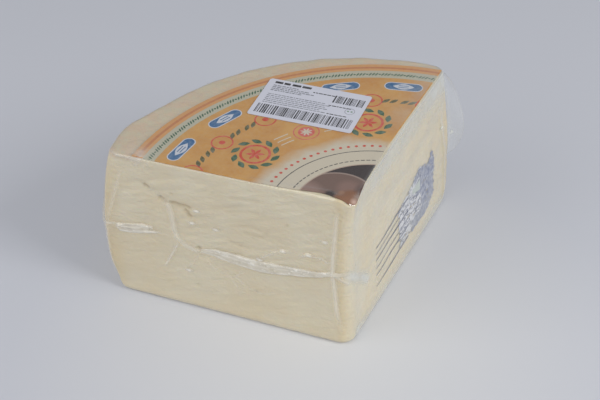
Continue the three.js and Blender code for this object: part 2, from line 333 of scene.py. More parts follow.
def line_stretch(start, start_radius, end, end_radius, inward, count):
    """A flat stretch between two roundings, from their centres and radii."""
    points = steps_between(start - inward * start_radius[:, None], end - inward * end_radius[:, None], count)
    return points, np.broadcast_to(-inward, points.shape)


def arc_stretch(centre, radius, start, end, count):
    angle = steps_between(start, end, count)
    return centre[:, None] + rays(angle) * radius[:, None, None], rays(angle)


def angle_of(points):
    return np.arctan2(points[:, 1], points[:, 0]) % (2 * pi)


def outline(height, counts):
    """Rows of points round the pack, one row for each height: points and girths."""
    apex_round, left_round, far_round = (
        upright_radius(height, radii) for radii in (APEX_RADII, LEFT_RADII, FAR_RADII))
    left = corner_centre(FRONT_ALONG, FRONT_INWARD, front_inset(height), left_round, height)
    far = far_centre(height)
    apex_y = front_inset(height) + apex_round
    apex_x = (side_inset(height) + apex_round - apex_y * SIDE_INWARD[1]) / SIDE_INWARD[0]
    apex = np.stack([apex_x, apex_y], axis=-1)
    to_front, to_side = np.full(len(height), 1.5 * pi), np.full(len(height), 2.5 * pi - CUT_ANGLE)
    to_far, to_left = angle_of(far), angle_of(left)
    rind = rind_radius(height)
    stretches = [
        line_stretch(left, left_round, apex, apex_round, FRONT_INWARD, counts[0]),
        arc_stretch(apex, apex_round, to_front, to_side, counts[1]),
        line_stretch(apex, apex_round, far, far_round, SIDE_INWARD, counts[2]),
        arc_stretch(far, far_round, to_side - 2 * pi, to_far, counts[3]),
        arc_stretch(np.zeros_like(far), rind, to_far, to_left, counts[4]),
        arc_stretch(left, left_round, to_left, to_front, counts[5]),
    ]
    points, normals = (np.concatenate(parts, axis=1) for parts in zip(*stretches))

    front_start, front_end = left @ FRONT_ALONG, apex @ FRONT_ALONG
    side_start, side_end = -(apex @ SIDE_ALONG), -(far @ SIDE_ALONG)
    far_end = side_end - far_round * (to_far - to_side + 2 * pi)
    rind_end = far_end - rind * (to_left - to_far)
    left_start = front_start + left_round * (to_front - to_left)
    starts = [front_start, front_end, side_start, side_end, far_end, left_start]
    ends = [front_end, side_start, side_end, far_end, rind_end, front_start]
    girth = np.concatenate([steps_between(*stretch) for stretch in zip(starts, ends, counts)], axis=1)
    return points + normals * swell(points, normals, height)[..., None], girth


def tip_drop(points):
    return TIP_DROP * ease(-5, 4, points[..., :2] @ TIP_WAY)


def skin(counts, levels, top_shares):
    """The pack's surface as rows of points, from the middle of its base to that of its top."""
    ring, girth = outline(levels, counts)
    height = np.broadcast_to(levels[:, None, None], (*ring.shape[:2], 1))
    sides = np.concatenate([ring, height], axis=2)
    base, top = (
        [edge.mean(axis=0) + share * (edge - edge.mean(axis=0)) for share in shares]
        for edge, shares in ((sides[0], BASE_SHARES), (sides[-1], top_shares))
    )
    rows = np.concatenate([base, sides, top])
    girths = np.concatenate([girth[:1]] * len(BASE_SHARES) + [girth] + [girth[-1:]] * len(top_shares))
    rows[..., 2] -= tip_drop(rows) * near_top(rows[..., 2], 8)
    return rows, girths


def outward(rows):
    """The outward direction at each point of a skin."""
    across = np.roll(rows, -1, axis=1) - np.roll(rows, 1, axis=1)
    normal = np.cross(across, np.gradient(rows, axis=0))
    return normal / np.linalg.norm(normal, axis=-1, keepdims=True)


def spaced_levels(seam_step):
    """Heights of rows from the base to the top."""
    top = PACK_HEIGHT - EDGE_LEVELS[::-1]
    below = np.arange(EDGE_LEVELS[-1] + LEVEL_STEP, SEAM_LOW, LEVEL_STEP)
    above = np.arange(SEAM_HIGH, top[0] - LEVEL_STEP / 2, LEVEL_STEP)
    return np.concatenate([EDGE_LEVELS, below, np.arange(SEAM_LOW, SEAM_HIGH, seam_step), above, top])


def grid_faces(row_count, column_count):
    """Faces of a grid of rows that each close on themselves."""
    return [(row + column, row + after, row + after + column_count, row + column + column_count)
            for row in range(0, (row_count - 1) * column_count, column_count)
            for column, after in enumerate([*range(1, column_count), 0])]


def closed_faces(row_count, column_count):
    """The faces of a grid, with a fan over its first and its last row from two more points."""
    first = row_count * column_count
    top = first - column_count
    faces = grid_faces(row_count, column_count)
    for column, after in enumerate([*range(1, column_count), 0]):
        faces += [(first, after, column), (first + 1, top + column, top + after)]
    return faces


def placed(name, data):
    """A new object in the scene, from its mesh, light or camera."""
    made = bpy.data.objects.new(name, data)
    bpy.context.scene.collection.objects.link(made)
    return made


def piece(name, points, faces, materials, attributes=None, smooth=True):
    """A mesh object from points in millimetres, with each attribute's numbers at them."""
    mesh = bpy.data.meshes.new(name)
    mesh.from_pydata(in_frame(points).tolist(), [], faces)
    for key, values in (attributes or {}).items():
        mesh.attributes.new(key, "FLOAT", "POINT").data.foreach_set("value", np.ravel(values))
    for material in materials:
        mesh.materials.append(material)
    mesh.polygons.foreach_set("use_smooth", [smooth] * len(mesh.polygons))
    mesh.update()
    return placed(name, mesh)


def closed_piece(name, rows, materials, attributes):
    """A piece from the rows of a skin, with attributes at the points of the rows."""
    points = np.concatenate([rows.reshape(-1, 3), rows[:1].mean(axis=1), rows[-1:].mean(axis=1)])
    values = {key: np.concatenate([np.ravel(a), [a[0].mean(), a[-1].mean()]])
              for key, a in attributes.items()}
    return piece(name, points, closed_faces(*rows.shape[:2]), materials, values)


def hold(made, node):
    """Puts a piece on the body, in place of the CAD node that is named, if any."""
    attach(made, "root")
    if node:
        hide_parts(node)
    return made


# Shader nodes

def add(tree, kind, inputs=None, output=0, **settings):
    """A new shader node's output, with values or other nodes' outputs on its inputs."""
    node = tree.nodes.new("ShaderNode" + kind)
    for key, value in settings.items():
        setattr(node, key, value)
    for key, value in (inputs or {}).items():
        if isinstance(value, bpy.types.NodeSocket):
            tree.links.new(value, node.inputs[key])
        else:
            node.inputs[key].default_value = value
    return node.outputs[output]


def new_material(name):
    material = bpy.data.materials.new(name)
    material.use_nodes = True
    material.node_tree.nodes.clear()
    return material, material.node_tree


def end_material(tree, surface):
    end = tree.nodes.new("ShaderNodeOutputMaterial")
    tree.links.new(surface, end.inputs["Surface"])


def end_opaque(tree, color, roughness, specular, more=None):
    inputs = {"Base Color": color, "Roughness": roughness, "Specular IOR Level": specular, **(more or {})}
    end_material(tree, add(tree, "BsdfPrincipled", inputs))


def rgba(color):
    return (*color, 1.0)


def calc(tree, operation, first, second, **settings):
    return add(tree, "Math", {0: first, 1: second}, operation=operation, **settings)


def object_place(tree):
    return add(tree, "TexCoord", output="Object")


def distance_from(tree, place, spot):
    return add(tree, "VectorMath", {0: place, 1: spot}, "Value", operation="DISTANCE")


def texture_noise(tree, size, detail=2.0, stretch=(1, 1, 1)):
    """Noise over the object, from about 0.3 to 0.7, with features of a size in millimetres."""
    place = add(tree, "Mapping", {"Vector": object_place(tree), "Scale": stretch})
    return add(tree, "TexNoise", {"Vector": place, "Scale": 1 / (size * MM), "Detail": detail})


def spread(tree, value, low, high):
    """A value's stretch from low to high, made 0 to 1."""
    return add(tree, "MapRange", {"Value": value, "From Min": low, "From Max": high})


def paint(tree, color, *coats):
    """A colour with coats over it, each as its share and its colour."""
    for share, coat in coats:
        first, second = (c if isinstance(c, bpy.types.NodeSocket) else rgba(c) for c in (color, coat))
        color = add(tree, "Mix", {0: share, 6: first, 7: second}, 2, data_type="RGBA", clamp_factor=True)
    return color


def attribute(tree, name):
    return add(tree, "Attribute", output="Fac", attribute_name=name)


def bump(tree, depth_mm, *noise_settings, under=None):
    """A surface dented by noise, over another such surface if there is one."""
    inputs = {"Height": texture_noise(tree, *noise_settings), "Distance": depth_mm * MM}
    return add(tree, "Bump", inputs if under is None else {**inputs, "Normal": under})


# How far the cheese lies inside the film, how much light the film reflects where it is seen
# square on, its roughness, and the colours of its white haze with painted highlights on the front,
# and of its haze with painted sheen on the side
FILM_GAP = 0.45
FILM_GLOSS = 0.06
FILM_ROUGHNESS = 0.09
WARM_HAZE_AND_HIGHLIGHTS = (0.93, 0.89, 0.79)
COOL_HAZE_AND_SHEEN = (0.80, 0.82, 0.79)

CURD = (0.825, 0.745, 0.56)
CURD_WARM = (0.81, 0.71, 0.51)
RIND = (0.79, 0.665, 0.43)
RIM = (0.65, 0.575, 0.43)
RIM_PINK = (0.68, 0.54, 0.40)
# The brown of the shade painted into the cheese's hollows
PAINTED_SHADE_BROWN = (0.46, 0.34, 0.17)


def cheese_material():
    material, tree = new_material("cheese curd")
    mottle = spread(tree, texture_noise(tree, 26), 0.35, 0.65)
    patches = spread(tree, texture_noise(tree, 9, 3.0), 0.4, 0.6)
    rim = paint(tree, RIM, (patches, RIM_PINK))
    # Brown over the marks is painted shade: in the crack's openings, the eyes, the waves and under the film's
    # seam
    color = paint(
        tree, CURD, (mottle, CURD_WARM), (attribute(tree, "rind"), RIND), (attribute(tree, "rim"), rim),
        (attribute(tree, "painted_shade"), PAINTED_SHADE_BROWN))
    dents = bump(tree, 0.85, 4.5, 4.0, (1, 1, 1.8))
    end_opaque(tree, color, 0.55, 0.3, {
        "Subsurface Weight": 0.15, "Subsurface Radius": (1.0, 0.7, 0.35), "Subsurface Scale": 0.003,
        "Normal": bump(tree, 0.12, 1.6, 3.0, under=dents)})
    return material


def film_material(name, haze_and_highlights):
    """Clear film: gloss over what is behind it, and white where it is creased, with painted glints and sheen.
    """
    material, tree = new_material(name)
    normal = bump(tree, 0.08, 5.0, 1.0)
    uneven = spread(tree, texture_noise(tree, 8, 1.0), -0.6, 0.6)
    # The white share: haze where the film is creased, and painted glints, highlights and sheen
    whitened = calc(tree, "MULTIPLY", attribute(tree, "haze_and_highlights"), haze_and_highlights)
    share = calc(tree, "MULTIPLY", whitened, uneven, use_clamp=True)
    tint = paint(tree, WARM_HAZE_AND_HIGHLIGHTS, (attribute(tree, "cool"), COOL_HAZE_AND_SHEEN))
    clear = add(tree, "BsdfTransparent", {"Color": (1, 1, 1, 1)})
    white = add(tree, "BsdfDiffuse", {"Color": tint, "Normal": normal})
    behind = add(tree, "MixShader", {0: share, 1: clear, 2: white})
    gloss = add(tree, "BsdfGlossy", {"Color": (1, 1, 1, 1), "Roughness": FILM_ROUGHNESS, "Normal": normal})
    steep = calc(tree, "POWER", add(tree, "LayerWeight", {"Blend": 0.5, "Normal": normal}, "Facing"), 5.0)
    gloss_share = add(tree, "MapRange", {"Value": steep, "To Min": FILM_GLOSS, "To Max": 1.0})
    end_material(tree, add(tree, "MixShader", {0: gloss_share, 1: behind, 2: gloss}))
    return material


# The surfaces of the pack

def label_depth(points):
    """How far inside the label's outline a point lies, but for its tip."""
    flat = points[..., :2]
    round_edge = LABEL_RADIUS - np.linalg.norm(flat - LABEL_CENTRE, axis=-1)
    front_edge = flat @ FRONT_INWARD + FRONT_OUT - LABEL_INSET
    side_edge = flat @ SIDE_INWARD + SIDE_OUT - LABEL_INSET
    return np.minimum(round_edge, np.minimum(front_edge, side_edge))


def near_tip_edge(points):
    """1 at the edge of the label's tip, fading to 0 beside it."""
    count = np.arange(0, len(LABEL_TIP) - 1, 0.1)
    edge = np.stack([np.interp(count, range(len(LABEL_TIP)), row) for row in zip(*LABEL_TIP)], axis=1)
    edge = np.concatenate([edge, (PACK_HEIGHT - tip_drop(edge))[:, None]], axis=1)
    share = np.zeros(points.shape[:-1])
    close = (points[..., 2] > 105) & (np.hypot(points[..., 0], points[..., 1]) < 70)
    gap = np.linalg.norm(points[close][:, None] - edge, axis=-1).min(axis=1)
    share[close] = bell(gap, 3.0)
    return share


def side_share(points):
    """1 on the pack's sides, fading to 0 at the base and the top."""
    height = points[..., 2]
    return ease(1, LEVEL_MARGIN, np.minimum(height, PACK_HEIGHT - height))


def waves(girth, height):
    """1 along the shallow waves, fading to 0 beside them."""
    return np.maximum.reduce([near_route(girth, height, route, WAVE_WIDTH) for route in WAVES])


def common_relief(points, girth):
    """The unevenness that the cheese and the film over it share."""
    height = points[..., 2]
    broad = 0.35 * noise(points, 34, seed=1) + 0.36 * noise(points, 13, seed=2)
    rising = points @ np.array([[1, 0, -0.33], [0, 1, 0], [0, 0, 1]])
    front = ease(6, 16, girth) * ease(168, 145, girth)
    ripples = 0.4 * noise(rising, (11, 11, 3.0), seed=3) * front * (0.55 + 0.45 * ease(50, 62, height))
    side = 0.2 * noise(points, (34, 34, 6), seed=8) * ease(-6, -20, girth)
    top = near_top(height, 4) * ease(-1, -6, label_depth(points))
    sides = broad + ripples + side - 0.5 * waves(girth, height)
    return side_share(points) * sides + top * (0.45 * noise(points, 9, seed=5))


def side_haze_and_sheen(points, girth):
    """The film's white haze and painted sheen over the side cut face: at its edges, and in streaks along it.
    """
    height = points[..., 2]
    face = ease(-3, -9, girth) * ease(-177, -164, girth)
    streaks = ease(0.0, 0.9, noise(points, (50, 50, 7), seed=12))
    upper = near_top(height, 26, 12) * (0.4 + 0.6 * ease(-10, -50, girth))
    far_corner = ease(-118, -150, girth) * ease(74, 100, height)
    base = ease(14, 3, height)
    apex = bell(girth + 7, 7) * ease(PACK_HEIGHT, 90, height)
    return face * (0.06 + 0.2 * streaks + 0.5 * upper + 0.15 * far_corner + 0.4 * base) + 0.22 * apex


def with_marks(total, strongest, marks):
    """A total with marks added and the strongest of them, from each mark, its amount and strength."""
    for mark, amount, strength in marks:
        total = total + amount * mark
        strongest = np.maximum(strongest, strength * mark)
    return total, strongest


def seam_features(points, girth):
    """How far the film stands out along its seam, and how white it is there, with painted glints in sparkles.
    """
    rise = table(SEAM_RISE, girth)
    offset = (points[..., 2] - table(SEAM_HEIGHT, girth)) / table(SEAM_HALF_WIDTH, girth)
    band = ease(1.3, 0.8, np.abs(offset))
    crinkle = noise(points, (5, 5, 1.6), seed=11)
    # Sparkles are painted glints in the seam's white, and small rises in it
    sparkle = ease(0.5, 0.8, noise(points, (1.7, 1.7, 1.0), seed=13))
    lines = 0.35 * bell(np.abs(offset) - 0.85, 0.25) + 0.25 * bell(offset - 0.2, 0.2)
    white = band * (0.65 + 0.15 * crinkle + lines + 0.5 * sparkle) * ease(0.2, 0.8, rise)
    return rise * band * (0.85 + 0.3 * crinkle + 0.3 * sparkle), white


def film_features(points, girth):
    """How far the film stands off what it covers, and how white it is: haze, painted glints and highlights,
    and painted sheen.
    """
    height = points[..., 2]
    loose = bell(np.hypot(points[..., 0] + WHEEL_RADIUS, points[..., 1] - 3), LOOSE_WIDTH)
    marks = [(near_route(girth, height, route, half_width), rise, whiteness)
             for route, rise, half_width, whiteness in CREASES]
    marks += [(bell(girth - g, GLINT_SIZE[0]) * bell(height - h, GLINT_SIZE[1]), GLINT_RISE, GLINT_WHITE)
              for g, h in GLINTS]
    marks.append((loose * bell(height - LOOSE_HEIGHT, LOOSE_LEVELS), LOOSE_RISE, LOOSE_WHITE))
    stand, white = with_marks(*seam_features(points, girth), marks)
    # Whitish film at the front's foot, also painted light that lifts the shade under the base edge
    foot = 0.4 * ease(5, 1, height) * ease(-2, 3, girth)
    white = np.maximum.reduce([white, side_haze_and_sheen(points, girth), foot])
    white = white * ease(PACK_HEIGHT, PACK_HEIGHT - 1.5, height)
    from_side = points[..., :2] @ SIDE_INWARD + SIDE_OUT
    from_axis = np.hypot(points[..., 0], points[..., 1])
    # A painted sheen over the label's edge along the side cut face
    label_edge_sheen = near_top(height, 1) * ease(26, 3, from_side) * ease(70, 100, from_axis)
    white = np.maximum(white, label_edge_sheen * (0.16 + 0.12 * noise(points, 11, seed=15)))
    # A painted highlight at the front's upper left corner
    corner_highlight = bell(np.linalg.norm(points - HIGHLIGHT_PLACE, axis=-1), HIGHLIGHT_REACH)
    white = np.maximum(white, corner_highlight * (0.4 + 0.4 * noise(points, 3, seed=14)))
    return side_share(points) * stand + 1.3 * near_tip_edge(points), white


def make_film():
    top_shares = [0.993, 0.986, 0.978, 0.968, 0.957, 0.945, 0.93, 0.915, 0.9, 0.88, 0.86, 0.83, 0.79, 0.74,
                  0.67, 0.58, 0.48, 0.37, 0.26, 0.15, 0.05]
    rows, girth = skin(FILM_COUNTS, spaced_levels(0.55), top_shares)
    normal = outward(rows)
    stand, white = film_features(rows, girth)
    over_label = ease(-2.6, -0.1, label_depth(rows)) * near_top(rows[..., 2], 6, 2)
    lift = over_label * (0.78 + 0.05 * noise(rows, 18, seed=6))
    rows = rows + normal * (common_relief(rows, girth) + stand + lift)[..., None]
    # The white holds the film's haze and its painted glints, highlights and sheen
    attributes = {"haze_and_highlights": white, "cool": ease(3, -5, girth)}
    film = closed_piece("vacuum_film", rows, [film_material("clear vacuum film", 0.9)], attributes)
    return hold(film, "vacuum_pack")


def make_cheese():
    top_shares = [0.99, 0.98, 0.965, 0.95, 0.93, 0.91, 0.88, 0.84, 0.78, 0.68, 0.5, 0.3, 0.08]
    rows, girth = skin(CHEESE_COUNTS, spaced_levels(0.85), top_shares)
    height = rows[..., 2]
    # A dent under the film's seam, with a painted shadow line along it
    below_seam = height - table(SEAM_HEIGHT, girth) + table(SEAM_HALF_WIDTH, girth) + 0.9
    under_seam = bell(below_seam, 0.9) * ease(10, 25, girth) * ease(85, 60, girth)
    # The crack's openings and the eyes are dents with painted shade in them
    marks = [(near_route(girth, height, route, OPENING_WIDTH), OPENING_DEPTH, OPENING_SHADE)
             for route in CRACK_OPENINGS]
    marks += [(bell(np.hypot(girth - g, height - h), radius), EYE_DEPTH, EYE_SHADE) for g, h, radius in EYES]
    marks += [(near_route(girth, height, CRACK_ROUTE, CRACK_WIDTH), CRACK_DEPTH, 0), (under_seam, 0.8, 0.4)]
    depth, painted_shade = with_marks(FILM_GAP, WAVE_SHADE * waves(girth, height), marks)
    foot = 0.22 * ease(-1, 3, girth) * ease(10, 2, height)
    near_apex = 0.8 * bell(girth - 4, 3) + 0.3 * bell(girth + 28, 8)
    rind = np.maximum.reduce([ease(156, 172, np.abs(girth)), foot, near_apex])
    from_label = np.linalg.norm(rows[..., :2] - LABEL_CENTRE, axis=-1)
    rim = ease(LABEL_RADIUS - 6, LABEL_RADIUS - 2, from_label) * near_top(height, 5, 2)
    relief = common_relief(rows, girth) - depth * ease(0, 1, height) + 0.08 * noise(rows, 3, seed=21)
    rows = rows + outward(rows) * relief[..., None]
    rows[..., 2] = np.maximum(rows[..., 2], 0.3)
    attributes = {"rind": rind, "rim": rim, "painted_shade": painted_shade}
    cheese = closed_piece("cheese_quarter", rows, [cheese_material()], attributes)
    return hold(cheese, "vacuum_pack")


# The printed label

PAPER_LOW, PAPER_TOP = PACK_HEIGHT - 0.05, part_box("top_label")[1][2] / MM
PRINT_LIFT = 0.008


def label_point(radius, bearing):
    """A place on the label, by its distance and bearing from the label's centre."""
    turn = radians(bearing)
    return LABEL_CENTRE + radius * np.array([-cos(turn), sin(turn)])


def label_row(radius, bearings):
    """Places on the label at one distance, each with the turn of a shape that lies along the row."""
    return [(label_point(radius, bearing), 90.0 - bearing) for bearing in bearings]


def label_outline():
    def crossing(along, inward, inset):
        start = inset * inward - LABEL_CENTRE
        half = start @ along
        return start + along * (-half + sqrt(half ** 2 - start @ start + LABEL_RADIUS ** 2))

    left = crossing(FRONT_ALONG, FRONT_INWARD, LABEL_INSET - FRONT_OUT)
    far = crossing(SIDE_ALONG, SIDE_INWARD, LABEL_INSET - SIDE_OUT)
    angle = np.linspace(atan2(far[1], far[0]), atan2(left[1], left[0]) % (2 * pi), 160)
    return np.concatenate([LABEL_TIP, LABEL_RADIUS * rays(angle) + LABEL_CENTRE])


def rounded_rectangle(size, corner, sides=8):
    angle = np.linspace(0, pi / 2, sides)
    return np.concatenate([
        np.array([x * (size[0] / 2 - corner), y * (size[1] / 2 - corner)]) + corner * rays(angle + turns * pi)
        for x, y, turns in ((1, -1, -0.5), (1, 1, 0.0), (-1, 1, 0.5), (-1, -1, 1.0))])


# A sheet's upper face as shares of its outline, from its edge to its middle
SHEET_SHARES = (1, 0.99, 0.98, 0.965, 0.95, 0.93, 0.9, 0.5, 0.01)


class Sheet:
    """A flat sheet with print on it: convex shapes, each a little above what it lies on."""

    def __init__(self, name, edge, low, high, paper, drop=lambda points: 0 * points[..., 0]):
        """A sheet within an edge and between two levels, and how far it drops at points."""
        self.name, self.high, self.drop = name, high, drop
        self.materials = [paper]
        middle = edge.mean(axis=0)
        rings = [(low, 0.01), (low, 1)] + [(high, share) for share in SHEET_SHARES]
        self.points = [point for level, share in rings
                       for point in self.lifted(middle + share * (edge - middle), level)]
        count = len(edge)
        top = count * (len(rings) - 1)
        self.faces = grid_faces(len(rings), count)
        self.faces += [tuple(range(count - 1, -1, -1)), tuple(range(top, top + count))]
        self.inks = [0] * len(self.faces)
        self.planes = []

    def lifted(self, flat, level):
        return [(*p, level - drop) for p, drop in zip(flat, self.drop(flat))]

    def clipped(self, polygon):
        """The part of a convex polygon on the inner side of each (normal, offset) plane."""
        for normal, offset in self.planes:
            kept = []
            for start, end in zip(polygon, np.roll(polygon, -1, axis=0)):
                a, b = start @ normal - offset, end @ normal - offset
                if a >= 0:
                    kept.append(start)
                if a * b < 0:
                    kept.append(start + (end - start) * a / (a - b))
            if len(kept) < 3:
                return None
            polygon = np.array(kept)
        return polygon

    def draw(self, ink, polygons, layer=1):
        if ink not in self.materials:
            self.materials.append(ink)
        for polygon in polygons:
            polygon = self.clipped(np.asarray(polygon))
            if polygon is None:
                continue
            start = len(self.points)
            self.points += self.lifted(polygon, self.high + PRINT_LIFT * layer)
            self.faces.append(tuple(range(start, start + len(polygon))))
            self.inks.append(self.materials.index(ink))

    def make(self):
        made = piece(self.name, self.points, self.faces, self.materials, smooth=False)
        made.data.polygons.foreach_set("material_index", self.inks)
        return made


def turned(points, degrees, centre):
    """Points turned about the origin and moved to a centre."""
    turn = radians(degrees)
    matrix = np.array([[cos(turn), sin(turn)], [-sin(turn), cos(turn)]])
    return np.asarray(points, dtype=float) @ matrix + centre


def disc(centre, radius, sides=48):
    return [centre + radius * rays(np.arange(sides) * 2 * pi / sides)]


def ring(centre, radius, width, start=0.0, end=360.0, step=5.0):
    """A round band from one angle to another, anticlockwise from +X, in quads."""
    angle = np.radians(np.linspace(start, end, max(2, round((end - start) / step) + 1)))
    inner, outer = (centre + (radius + side * width / 2) * rays(angle) for side in (-1, 1))
    return [np.array([inner[i], outer[i], outer[i + 1], inner[i + 1]]) for i in range(len(angle) - 1)]


def leaf(centre, length, width, turn):
    share = np.linspace(0, 1, 9)
    upper = np.stack([(share - 0.5) * length, width / 2 * np.sin(pi * share)], axis=1)
    return [turned(np.concatenate([upper, -upper[1:-1]]), turn, centre)]


def bar(centre, length, width, turn=0.0):
    corners = [(-1, -1), (1, -1), (1, 1), (-1, 1)]
    return [turned(np.multiply(corners, (length / 2, width / 2)), turn, centre)]


def pill(centre, length, width, turn):
    return [turned(rounded_rectangle((length, width), width / 2 - 0.01), turn, centre)]


def flower(centre, petals, reach, width, turn=0.0):
    return [shape for i in range(petals) for shape in leaf(
        turned([[reach / 2, 0]], turn + 360 * i / petals, centre)[0], reach, width, turn + 360 * i / petals)]


def ink_material(name, color, mottle=0.12):
    """Printing ink, a little uneven as on plain paper."""
    material, tree = new_material(name)
    paler = tuple(c + mottle * (1 - c) for c in color)
    share = spread(tree, texture_noise(tree, 3.0, 3.0), 0.35, 0.7)
    end_opaque(tree, paint(tree, color, (share, paler)), 0.5, 0.3)
    return material


OCHRE = (0.59, 0.28, 0.07)
OCHRE_LIGHT = (0.67, 0.37, 0.11)
CREAM = (0.66, 0.59, 0.47)
ORANGE = (0.68, 0.345, 0.13)
ORANGE_DARK = (0.56, 0.22, 0.085)
RING_CREAM = (0.52, 0.50, 0.39)

# The label's printed bands: outer radius of each and its colour, from the middle outwards
BANDS = [(146.0, OCHRE), (154.4, RING_CREAM), (157.2, ORANGE), (159.2, ORANGE_DARK), (170.0, ORANGE)]
CREAM_RADII = (72.0, 82.0)

# The round picture in the middle of the label: the sky's colour, then soft fields over it, as
# place, inner and outer radius, and colour
PICTURE_RADIUS = 46.6
PICTURE_RIM = (0.52, 0.40, 0.32)
PICTURE_SKY = (0.05, 0.035, 0.034)
PICTURE_FIELDS = [
    ((-8, 0), 26.0, 26.6, (0.36, 0.27, 0.23)), ((-8, 0), 24.8, 25.4, (0.20, 0.125, 0.10)),
    ((-28, 0), 8, 14, (0.31, 0.20, 0.165)), ((-3, 13), 4, 9, (0.27, 0.165, 0.135)),
    ((3, 1), 9, 12, (0.27, 0.125, 0.065)), ((-11.5, 3.5), 2, 4, (0.05, 0.033, 0.03)),
    ((8, 14), 3, 8, (0.13, 0.08, 0.07)), ((-5, 7), 1, 2.5, (0.34, 0.19, 0.12)),
    ((4.5, 3), 0.5, 3, (0.62, 0.42, 0.34)),
]


def label_paper():
    """Printed paper: rings of colour about the label's centre, a pale field and a dark picture."""
    material, tree = new_material("printed label paper")
    flat = add(tree, "VectorMath", {0: object_place(tree), 1: (1, 1, 0)}, operation="MULTIPLY")

    def out_from(spot):
        return distance_from(tree, flat, (*in_frame([*spot, 0])[:2], 0))

    def below(value, limit_mm):
        return calc(tree, "LESS_THAN", value, limit_mm * MM)

    radius = out_from(LABEL_CENTRE)
    widest = BANDS[-1][0]
    ramp = add(tree, "ValToRGB", {"Fac": spread(tree, radius, 0, widest * MM)})
    bands = ramp.node.color_ramp
    bands.interpolation = "CONSTANT"
    bands.elements[0].color = rgba(BANDS[0][1])
    for index, ((start, _), (_, color)) in enumerate(zip(BANDS, BANDS[1:])):
        stop = bands.elements[1] if index == 0 else bands.elements.new(start / widest)
        stop.position, stop.color = start / widest, rgba(color)
    wander = spread(tree, texture_noise(tree, 22, 3.0), 0.35, 0.65)
    fibres = spread(tree, texture_noise(tree, 2.5, 3.0), 0.35, 0.7)
    ochre = paint(tree, ramp, (wander, OCHRE_LIGHT))
    field = paint(tree, ramp, (below(radius, BANDS[0][0]), ochre))
    edge = add(tree, "Math", {0: wander, 1: 7 * MM, 2: radius}, operation="MULTIPLY_ADD")
    beyond = spread(tree, edge, CREAM_RADII[0] * MM, CREAM_RADII[1] * MM)
    picture = paint(tree, PICTURE_SKY, *(
        (spread(tree, out_from(spot), outer * MM, inner * MM), color)
        for spot, inner, outer, color in PICTURE_FIELDS))
    printed = paint(
        tree, CREAM, (beyond, field), (calc(tree, "MULTIPLY", fibres, 0.12), CREAM),
        (below(radius, PICTURE_RADIUS + 0.9), PICTURE_RIM), (below(radius, PICTURE_RADIUS), picture))
    end_opaque(tree, printed, 0.55, 0.35, {"Normal": bump(tree, 0.03, 0.8)})
    return material


# How far from the label's centre its rows of motifs lie
ROPE_RADIUS, TABLET_RADIUS, RING_RADIUS, WREATH_RADIUS = 150.2, 136.5, 118.5, 93.0
DOT_RADIUS, LINE_RADIUS, DASH_RADIUS = 67.0, 61.5, 51.5


def draw_label_motifs(label):
    green = ink_material("leaf green ink", (0.045, 0.12, 0.055))
    olive = ink_material("olive green ink", (0.12, 0.11, 0.035))
    red = ink_material("red ink", (0.62, 0.07, 0.03))
    pink = ink_material("pale red ink", (0.66, 0.13, 0.10))
    blue = ink_material("blue ink", (0.03, 0.135, 0.31))
    white = ink_material("white ink", (0.62, 0.64, 0.70), 0.05)
    dark = ink_material("dark ink", (0.075, 0.07, 0.06))
    cream = ink_material("cream ink", CREAM, 0.05)

    # A rope of small leaves with dots along the pale ring
    for index, (place, turn) in enumerate(label_row(ROPE_RADIUS, -1.6 + 0.82 * np.arange(118))):
        label.draw(green, leaf(place, 4.4, 1.25, turn + 60) if index % 4 else disc(place, 0.8, 12))

    # Blue tablets with a white field, along the pale ring
    for centre, turn in label_row(TABLET_RADIUS, (9, 27, 45, 63, 81)):
        label.draw(white, pill(centre, 26.5, 9.4, turn))
        label.draw(blue, pill(centre, 25.0, 7.8, turn), 2)
        label.draw(white, leaf(centre, 15.0, 6.6, turn), 3)
        for offset in (-1.0, 1.0):
            label.draw(blue, bar(turned([[0, offset]], turn, centre)[0], 7.0, 0.7, turn), 4)

    # Red rings between sprigs, inside the tablets
    for bearing in (0.5, 18, 36, 54, 72, 90):
        centre = label_point(RING_RADIUS, bearing)
        label.draw(red, ring(centre, 7.0, 1.1, step=12))
        label.draw(red, disc(centre, 2.2, 20))
        for place, turn in label_row(RING_RADIUS, [bearing + step for step in (-7.2, -4.7, 4.7, 7.2)]):
            label.draw(olive, leaf(place, 7.4, 3.0, turn + 40))

    # Two wreaths, and a seal between them with strokes on either side
    for bearing in (20, 71):
        draw_wreath(label, label_point(WREATH_RADIUS, bearing), red, green)
    seal = label_point(WREATH_RADIUS - 1, 45)
    label.draw(pink, ring(seal, 8.4, 0.8, step=10))
    label.draw(pink, disc(seal, 5.6, 32))
    label.draw(cream, flower(seal, 8, 4.4, 1.3), 2)
    for radius in (88, 92, 96):
        for first, last in ((31.5, 38), (52, 59)):
            label.draw(cream, ring(LABEL_CENTRE, radius, 0.9, 180 - last, 180 - first, 2))

    # Round the pale field, from its edge inwards: dots, a thin line, and dashes round the picture
    for place, _ in label_row(DOT_RADIUS, np.arange(3, 92, 4.4)):
        label.draw(red, disc(place, 1.1, 14))
    label.draw(dark, ring(LABEL_CENTRE, LINE_RADIUS, 0.7, 88, 178, 2))
    for place, turn in label_row(DASH_RADIUS, np.arange(9, 90, 3.9)):
        label.draw(dark, bar(place, 2.5, 0.8, turn))


def draw_wreath(label, centre, red, green):
    """A flower in a ring, with leaves all round."""
    label.draw(red, ring(centre, 9.4, 1.8, step=6))
    label.draw(red, flower(centre, 6, 6.4, 2.4, 15))
    for angle in range(0, 360, 36):
        label.draw(green, leaf(turned([[13.8, 0]], angle, centre)[0], 8.2, 4.0, angle + 64))


